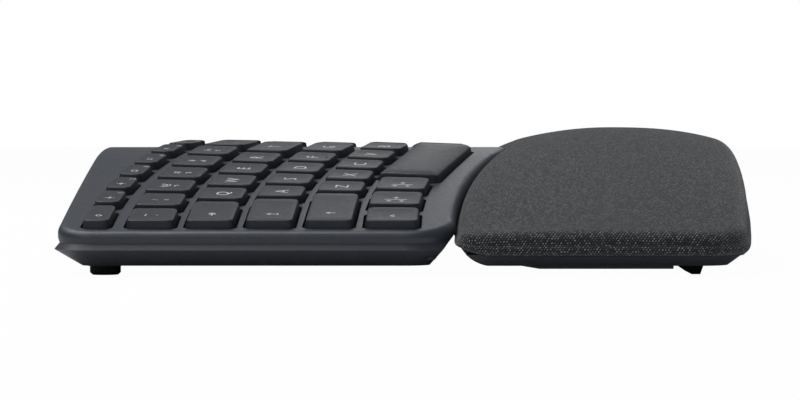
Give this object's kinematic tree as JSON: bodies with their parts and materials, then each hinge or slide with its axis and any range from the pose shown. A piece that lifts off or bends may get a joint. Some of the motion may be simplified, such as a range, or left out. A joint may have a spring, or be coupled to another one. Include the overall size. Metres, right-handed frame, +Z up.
{
  "type": "ergonomic split keyboard",
  "caption": "Wireless full-size ergonomic keyboard with a wave-shaped deck, two fanned key blocks split at the crest, number pad and an attached cushioned palm rest",
  "frame": {"origin": "centre of the whole footprint on the table, at the bottoms of the rubber feet", "axes": "+X to the user's right, +Y away from the user, +Z up"},
  "size_m": [0.456, 0.233, 0.048],
  "materials": {
    "deck_plastic": "fine matte texture",
    "key_plastic": "smooth satin, slightly lighter when lit",
    "base_plastic": "fine matte texture",
    "pad_fabric": "dark weave with light flecks",
    "foot_rubber": "matte",
    "dome_rubber": "translucent matte",
    "membrane_film": "thin film",
    "board_laminate": "solder mask",
    "cell_jacket": null,
    "contact_steel": "plated spring steel",
    "switch_plastic": "smooth",
    "pin_steel": "bright"
  },
  "bodies": {
    "base": {"top_case": "deck_plastic", "bottom_case": "base_plastic", "key_frame": "base_plastic", "membrane_sheet": "membrane_film", "rubber_domes": "dome_rubber", "circuit_board": "board_laminate", "batteries": "cell_jacket", "battery_contacts": "contact_steel", "palm_rest_support": "base_plastic", "palm_rest_base": "base_plastic", "palm_rest_pad": "pad_fabric", "rubber_feet": "foot_rubber", "leg_pins": "pin_steel"},
    "keys_right_inner_body": {"keys_right_inner": "key_plastic"},
    "keys_right_outer_body": {"keys_right_outer": "key_plastic"},
    "navigation_keys_body": {"navigation_keys": "key_plastic"},
    "number_pad_keys_body": {"number_pad_keys": "key_plastic"},
    "key_escape_body": {"key_escape": "key_plastic"},
    "key_f1_body": {"key_f1": "key_plastic"},
    "key_f2_body": {"key_f2": "key_plastic"},
    "key_f3_body": {"key_f3": "key_plastic"},
    "key_f4_body": {"key_f4": "key_plastic"},
    "key_f5_body": {"key_f5": "key_plastic"},
    "key_f6_body": {"key_f6": "key_plastic"},
    "key_backquote_body": {"key_backquote": "key_plastic"},
    "key_1_body": {"key_1": "key_plastic"},
    "key_2_body": {"key_2": "key_plastic"},
    "key_3_body": {"key_3": "key_plastic"},
    "key_4_body": {"key_4": "key_plastic"},
    "key_5_body": {"key_5": "key_plastic"},
    "key_6_body": {"key_6": "key_plastic"},
    "key_tab_body": {"key_tab": "key_plastic"},
    "key_q_body": {"key_q": "key_plastic"},
    "key_w_body": {"key_w": "key_plastic"},
    "key_e_body": {"key_e": "key_plastic"},
    "key_r_body": {"key_r": "key_plastic"},
    "key_t_body": {"key_t": "key_plastic"},
    "key_caps_lock_body": {"key_caps_lock": "key_plastic"},
    "key_a_body": {"key_a": "key_plastic"},
    "key_s_body": {"key_s": "key_plastic"},
    "key_d_body": {"key_d": "key_plastic"},
    "key_f_body": {"key_f": "key_plastic"},
    "key_g_body": {"key_g": "key_plastic"},
    "key_left_shift_body": {"key_left_shift": "key_plastic"},
    "key_z_body": {"key_z": "key_plastic"},
    "key_x_body": {"key_x": "key_plastic"},
    "key_c_body": {"key_c": "key_plastic"},
    "key_v_body": {"key_v": "key_plastic"},
    "key_b_body": {"key_b": "key_plastic"},
    "key_left_control_body": {"key_left_control": "key_plastic"},
    "key_left_option_body": {"key_left_option": "key_plastic"},
    "key_left_alt_body": {"key_left_alt": "key_plastic"},
    "key_left_space_body": {"key_left_space": "key_plastic"},
    "switch": {"power_switch": "switch_plastic"},
    "cover": {"battery_cover": "base_plastic"},
    "large_leg_left": {"leg_large_left": "base_plastic"},
    "small_leg_left": {"leg_small_left": "base_plastic"},
    "large_leg_right": {"leg_large_right": "base_plastic"},
    "small_leg_right": {"leg_small_right": "base_plastic"}
  },
  "joints": [
    {"name": "keys_right_inner_press", "type": "slide", "parent": "base", "child": "keys_right_inner_body", "axis": [-0.1227, 0, -0.9924], "range_m": [0, 0.002], "stiffness_N_per_m": 2400, "springref_m": -0.0005, "deforming": ["rubber_domes"]},
    {"name": "keys_right_outer_press", "type": "slide", "parent": "base", "child": "keys_right_outer_body", "axis": [-0.1724, 0, -0.985], "range_m": [0, 0.002], "stiffness_N_per_m": 9900, "springref_m": -0.0005, "deforming": ["rubber_domes"]},
    {"name": "navigation_keys_press", "type": "slide", "parent": "base", "child": "navigation_keys_body", "axis": [0, 0, -1], "range_m": [0, 0.002], "stiffness_N_per_m": 3900, "springref_m": -0.0005, "deforming": ["rubber_domes"]},
    {"name": "number_pad_keys_press", "type": "slide", "parent": "base", "child": "number_pad_keys_body", "axis": [0, 0, -1], "range_m": [0, 0.002], "stiffness_N_per_m": 6300, "springref_m": -0.0005, "deforming": ["rubber_domes"]},
    {"name": "key_escape_press", "type": "slide", "parent": "base", "child": "key_escape_body", "axis": [0.2138, 0, -0.9769], "range_m": [0, 0.002], "stiffness_N_per_m": 300, "springref_m": -0.0005, "deforming": ["rubber_domes"]},
    {"name": "key_f1_press", "type": "slide", "parent": "base", "child": "key_f1_body", "axis": [0.2045, 0, -0.9789], "range_m": [0, 0.002], "stiffness_N_per_m": 300, "springref_m": -0.0005, "deforming": ["rubber_domes"]},
    {"name": "key_f2_press", "type": "slide", "parent": "base", "child": "key_f2_body", "axis": [0.196, 0, -0.9806], "range_m": [0, 0.002], "stiffness_N_per_m": 300, "springref_m": -0.0005, "deforming": ["rubber_domes"]},
    {"name": "key_f3_press", "type": "slide", "parent": "base", "child": "key_f3_body", "axis": [0.1876, 0, -0.9822], "range_m": [0, 0.002], "stiffness_N_per_m": 300, "springref_m": -0.0005, "deforming": ["rubber_domes"]},
    {"name": "key_f4_press", "type": "slide", "parent": "base", "child": "key_f4_body", "axis": [0.1792, 0, -0.9838], "range_m": [0, 0.002], "stiffness_N_per_m": 300, "springref_m": -0.0005, "deforming": ["rubber_domes"]},
    {"name": "key_f5_press", "type": "slide", "parent": "base", "child": "key_f5_body", "axis": [0.1439, 0, -0.9896], "range_m": [0, 0.002], "stiffness_N_per_m": 300, "springref_m": -0.0005, "deforming": ["rubber_domes"]},
    {"name": "key_f6_press", "type": "slide", "parent": "base", "child": "key_f6_body", "axis": [0.0573, 0, -0.9984], "range_m": [0, 0.002], "stiffness_N_per_m": 300, "springref_m": -0.0005, "deforming": ["rubber_domes"]},
    {"name": "key_backquote_press", "type": "slide", "parent": "base", "child": "key_backquote_body", "axis": [0.2146, 0, -0.9767], "range_m": [0, 0.002], "stiffness_N_per_m": 300, "springref_m": -0.0005, "deforming": ["rubber_domes"]},
    {"name": "key_1_press", "type": "slide", "parent": "base", "child": "key_1_body", "axis": [0.2062, 0, -0.9785], "range_m": [0, 0.002], "stiffness_N_per_m": 300, "springref_m": -0.0005, "deforming": ["rubber_domes"]},
    {"name": "key_2_press", "type": "slide", "parent": "base", "child": "key_2_body", "axis": [0.1977, 0, -0.9803], "range_m": [0, 0.002], "stiffness_N_per_m": 300, "springref_m": -0.0005, "deforming": ["rubber_domes"]},
    {"name": "key_3_press", "type": "slide", "parent": "base", "child": "key_3_body", "axis": [0.1893, 0, -0.9819], "range_m": [0, 0.002], "stiffness_N_per_m": 300, "springref_m": -0.0005, "deforming": ["rubber_domes"]},
    {"name": "key_4_press", "type": "slide", "parent": "base", "child": "key_4_body", "axis": [0.1809, 0, -0.9835], "range_m": [0, 0.002], "stiffness_N_per_m": 300, "springref_m": -0.0005, "deforming": ["rubber_domes"]},
    {"name": "key_5_press", "type": "slide", "parent": "base", "child": "key_5_body", "axis": [0.1588, 0, -0.9873], "range_m": [0, 0.002], "stiffness_N_per_m": 300, "springref_m": -0.0005, "deforming": ["rubber_domes"]},
    {"name": "key_6_press", "type": "slide", "parent": "base", "child": "key_6_body", "axis": [0.0687, 0, -0.9976], "range_m": [0, 0.002], "stiffness_N_per_m": 300, "springref_m": -0.0005, "deforming": ["rubber_domes"]},
    {"name": "key_tab_press", "type": "slide", "parent": "base", "child": "key_tab_body", "axis": [0.2128, 0, -0.9771], "range_m": [0, 0.002], "stiffness_N_per_m": 300, "springref_m": -0.0005, "deforming": ["rubber_domes"]},
    {"name": "key_q_press", "type": "slide", "parent": "base", "child": "key_q_body", "axis": [0.2026, 0, -0.9793], "range_m": [0, 0.002], "stiffness_N_per_m": 300, "springref_m": -0.0005, "deforming": ["rubber_domes"]},
    {"name": "key_w_press", "type": "slide", "parent": "base", "child": "key_w_body", "axis": [0.1945, 0, -0.9809], "range_m": [0, 0.002], "stiffness_N_per_m": 300, "springref_m": -0.0005, "deforming": ["rubber_domes"]},
    {"name": "key_e_press", "type": "slide", "parent": "base", "child": "key_e_body", "axis": [0.1864, 0, -0.9825], "range_m": [0, 0.002], "stiffness_N_per_m": 300, "springref_m": -0.0005, "deforming": ["rubber_domes"]},
    {"name": "key_r_press", "type": "slide", "parent": "base", "child": "key_r_body", "axis": [0.1784, 0, -0.984], "range_m": [0, 0.002], "stiffness_N_per_m": 300, "springref_m": -0.0005, "deforming": ["rubber_domes"]},
    {"name": "key_t_press", "type": "slide", "parent": "base", "child": "key_t_body", "axis": [0.1234, 0, -0.9924], "range_m": [0, 0.002], "stiffness_N_per_m": 300, "springref_m": -0.0005, "deforming": ["rubber_domes"]},
    {"name": "key_caps_lock_press", "type": "slide", "parent": "base", "child": "key_caps_lock_body", "axis": [0.212, 0, -0.9773], "range_m": [0, 0.002], "stiffness_N_per_m": 300, "springref_m": -0.0005, "deforming": ["rubber_domes"]},
    {"name": "key_a_press", "type": "slide", "parent": "base", "child": "key_a_body", "axis": [0.2013, 0, -0.9795], "range_m": [0, 0.002], "stiffness_N_per_m": 300, "springref_m": -0.0005, "deforming": ["rubber_domes"]},
    {"name": "key_s_press", "type": "slide", "parent": "base", "child": "key_s_body", "axis": [0.1935, 0, -0.9811], "range_m": [0, 0.002], "stiffness_N_per_m": 300, "springref_m": -0.0005, "deforming": ["rubber_domes"]},
    {"name": "key_d_press", "type": "slide", "parent": "base", "child": "key_d_body", "axis": [0.1857, 0, -0.9826], "range_m": [0, 0.002], "stiffness_N_per_m": 300, "springref_m": -0.0005, "deforming": ["rubber_domes"]},
    {"name": "key_f_press", "type": "slide", "parent": "base", "child": "key_f_body", "axis": [0.178, 0, -0.984], "range_m": [0, 0.002], "stiffness_N_per_m": 300, "springref_m": -0.0005, "deforming": ["rubber_domes"]},
    {"name": "key_g_press", "type": "slide", "parent": "base", "child": "key_g_body", "axis": [0.1299, 0, -0.9915], "range_m": [0, 0.002], "stiffness_N_per_m": 300, "springref_m": -0.0005, "deforming": ["rubber_domes"]},
    {"name": "key_left_shift_press", "type": "slide", "parent": "base", "child": "key_left_shift_body", "axis": [0.2104, 0, -0.9776], "range_m": [0, 0.002], "stiffness_N_per_m": 300, "springref_m": -0.0005, "deforming": ["rubber_domes"]},
    {"name": "key_z_press", "type": "slide", "parent": "base", "child": "key_z_body", "axis": [0.1982, 0, -0.9802], "range_m": [0, 0.002], "stiffness_N_per_m": 300, "springref_m": -0.0005, "deforming": ["rubber_domes"]},
    {"name": "key_x_press", "type": "slide", "parent": "base", "child": "key_x_body", "axis": [0.1908, 0, -0.9816], "range_m": [0, 0.002], "stiffness_N_per_m": 300, "springref_m": -0.0005, "deforming": ["rubber_domes"]},
    {"name": "key_c_press", "type": "slide", "parent": "base", "child": "key_c_body", "axis": [0.1834, 0, -0.983], "range_m": [0, 0.002], "stiffness_N_per_m": 300, "springref_m": -0.0005, "deforming": ["rubber_domes"]},
    {"name": "key_v_press", "type": "slide", "parent": "base", "child": "key_v_body", "axis": [0.1756, 0, -0.9845], "range_m": [0, 0.002], "stiffness_N_per_m": 300, "springref_m": -0.0005, "deforming": ["rubber_domes"]},
    {"name": "key_b_press", "type": "slide", "parent": "base", "child": "key_b_body", "axis": [0.1224, 0, -0.9925], "range_m": [0, 0.002], "stiffness_N_per_m": 300, "springref_m": -0.0005, "deforming": ["rubber_domes"]},
    {"name": "key_left_control_press", "type": "slide", "parent": "base", "child": "key_left_control_body", "axis": [0.2144, 0, -0.9768], "range_m": [0, 0.002], "stiffness_N_per_m": 300, "springref_m": -0.0005, "deforming": ["rubber_domes"]},
    {"name": "key_left_option_press", "type": "slide", "parent": "base", "child": "key_left_option_body", "axis": [0.2054, 0, -0.9787], "range_m": [0, 0.002], "stiffness_N_per_m": 300, "springref_m": -0.0005, "deforming": ["rubber_domes"]},
    {"name": "key_left_alt_press", "type": "slide", "parent": "base", "child": "key_left_alt_body", "axis": [0.1965, 0, -0.9805], "range_m": [0, 0.002], "stiffness_N_per_m": 300, "springref_m": -0.0005, "deforming": ["rubber_domes"]},
    {"name": "key_left_space_press", "type": "slide", "parent": "base", "child": "key_left_space_body", "axis": [0.1705, 0, -0.9854], "range_m": [0, 0.002], "stiffness_N_per_m": 300, "springref_m": -0.0005, "deforming": ["rubber_domes"]},
    {"name": "power_switch_slide", "type": "slide", "parent": "base", "child": "switch", "axis": [1, 0, 0], "range_m": [0, 0.004]},
    {"name": "battery_cover_lift_off", "type": "slide", "parent": "base", "child": "cover", "axis": [0, 0, -1], "range_m": [0, 0.02]},
    {"name": "large_leg_left_swing", "type": "hinge", "parent": "base", "child": "large_leg_left", "pos_m": [-0.196, -0.077, 0.0039], "axis": [-1, 0, 0], "range_deg": [0, 90]},
    {"name": "small_leg_left_swing", "type": "hinge", "parent": "base", "child": "small_leg_left", "pos_m": [-0.196, -0.077, 0.0039], "axis": [-1, 0, 0], "range_deg": [0, 90]},
    {"name": "large_leg_right_swing", "type": "hinge", "parent": "base", "child": "large_leg_right", "pos_m": [0.112, -0.077, 0.0039], "axis": [-1, 0, 0], "range_deg": [0, 90]},
    {"name": "small_leg_right_swing", "type": "hinge", "parent": "base", "child": "small_leg_right", "pos_m": [0.112, -0.077, 0.0039], "axis": [-1, 0, 0], "range_deg": [0, 90]}
  ]
}
